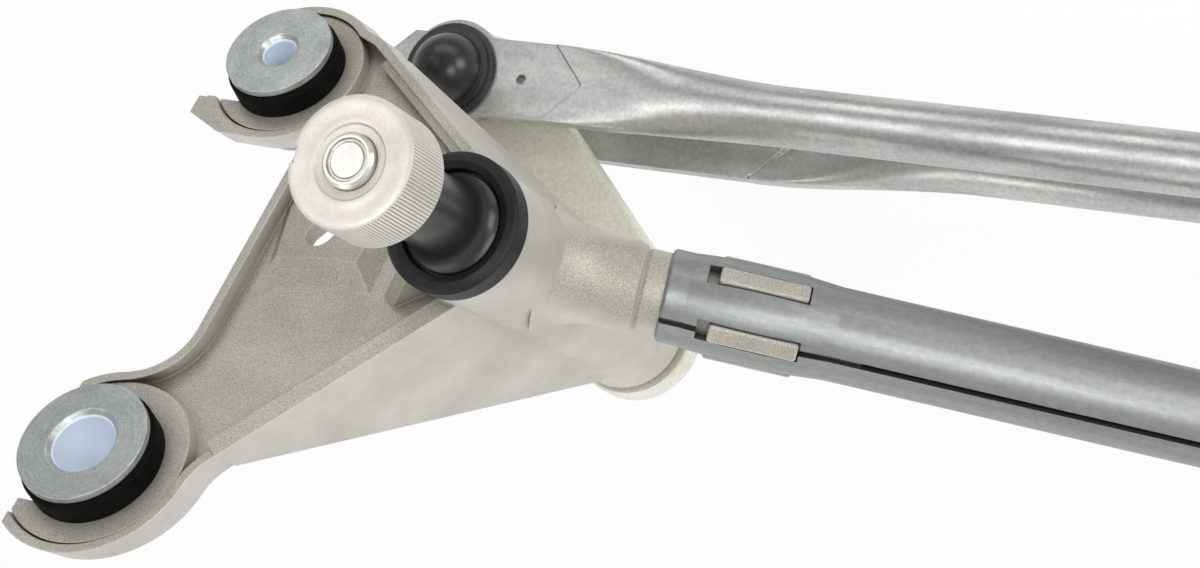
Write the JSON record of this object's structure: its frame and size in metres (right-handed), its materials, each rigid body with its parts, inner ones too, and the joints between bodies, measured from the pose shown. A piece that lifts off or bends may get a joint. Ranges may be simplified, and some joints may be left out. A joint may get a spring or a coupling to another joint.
{
  "type": "wiper linkage",
  "caption": "Windscreen wiper linkage: die-cast pivot brackets on a bent tube frame, knurled drive heads, levers, ball-jointed tubular links and a motor bracket.",
  "frame": {"origin": "on the left pivot's axis, in the middle of the knurl of its drive head", "axes": "+Z along the pivot shafts towards the drive heads, +X from the left pivot to the right one"},
  "size_m": [0.8186, 0.2019, 0.178],
  "materials": {
    "cast_aluminium": "shot-blasted die casting",
    "tube_zinc": "zinc-plated rolled tube",
    "link_zinc": "zinc-plated tube",
    "lever_steel": "zinc-plated plate",
    "head_zinc": "zinc-plated and knurled",
    "shaft_steel": "turned",
    "zinc_washer": "zinc-plated",
    "grommet_rubber": "satin",
    "seal_rubber": "satin",
    "black_plastic": "moulded",
    "white_plastic": "moulded",
    "sintered_bronze": "sintered"
  },
  "bodies": {
    "frame": {"left_pivot_bracket": "cast_aluminium", "right_pivot_bracket": "cast_aluminium", "frame_tube": "tube_zinc", "motor_bracket": "tube_zinc", "motor_bracket_rivets": "shaft_steel", "motor_bracket_grommet": "grommet_rubber", "motor_bracket_flanged_sleeve": "zinc_washer", "motor_bracket_washer": "zinc_washer", "left_seal": "seal_rubber", "left_upper_bush": "sintered_bronze", "left_lower_bush": "sintered_bronze", "right_seal": "seal_rubber", "right_upper_bush": "sintered_bronze", "right_lower_bush": "sintered_bronze", "left_lower_grommet": "grommet_rubber", "left_lower_flanged_sleeve": "zinc_washer", "left_lower_washer": "zinc_washer", "left_upper_grommet": "grommet_rubber", "left_upper_flanged_sleeve": "zinc_washer", "left_upper_washer": "zinc_washer", "right_lower_grommet": "grommet_rubber", "right_lower_flanged_sleeve": "zinc_washer", "right_lower_washer": "zinc_washer", "right_upper_grommet": "grommet_rubber", "right_upper_flanged_sleeve": "zinc_washer", "right_upper_washer": "zinc_washer"},
    "left_crank": {"left_pivot_shaft": "shaft_steel", "left_drive_head": "head_zinc", "left_shaft_sleeve": "black_plastic", "left_lever": "lever_steel", "left_ball_stud": "shaft_steel", "left_thrust_washer": "white_plastic", "left_retaining_ring": "shaft_steel"},
    "right_crank": {"right_pivot_shaft": "shaft_steel", "right_drive_head": "head_zinc", "right_shaft_sleeve": "black_plastic", "right_lever": "lever_steel", "right_ball_stud": "shaft_steel", "right_thrust_washer": "white_plastic", "right_retaining_ring": "shaft_steel"},
    "tie_link": {"tie_link_rod": "link_zinc", "tie_link_left_socket": "black_plastic", "tie_link_right_socket": "black_plastic"},
    "drive_link": {"drive_link_rod": "link_zinc", "drive_link_lever_socket": "black_plastic", "drive_link_motor_socket": "black_plastic"}
  },
  "joints": [
    {"name": "left_pivot", "type": "hinge", "parent": "frame", "child": "left_crank", "pos_m": [0, 0, 0], "axis": [0, 0, 1], "range_deg": [-90, 0]},
    {"name": "right_pivot", "type": "hinge", "parent": "frame", "child": "right_crank", "pos_m": [0.66, 0, 0], "axis": [0, 0, 1], "range_deg": [-90, 0]},
    {"name": "tie_link_swing", "type": "hinge", "parent": "left_crank", "child": "tie_link", "pos_m": [-0.0486, 0.04612, -0.0999], "axis": [0, 0, 1], "range_deg": [0, 90]},
    {"name": "drive_link_swing", "type": "hinge", "parent": "left_crank", "child": "drive_link", "pos_m": [-0.0486, 0.04612, -0.1311], "axis": [0, 0, 1], "range_deg": [0, 90]}
  ],
  "couplings": [
    {"joint": "right_pivot", "follows": "left_pivot", "ratio": 1},
    {"joint": "tie_link_swing", "follows": "left_pivot", "ratio": -1},
    {"joint": "drive_link_swing", "follows": "left_pivot", "ratio": -1}
  ]
}
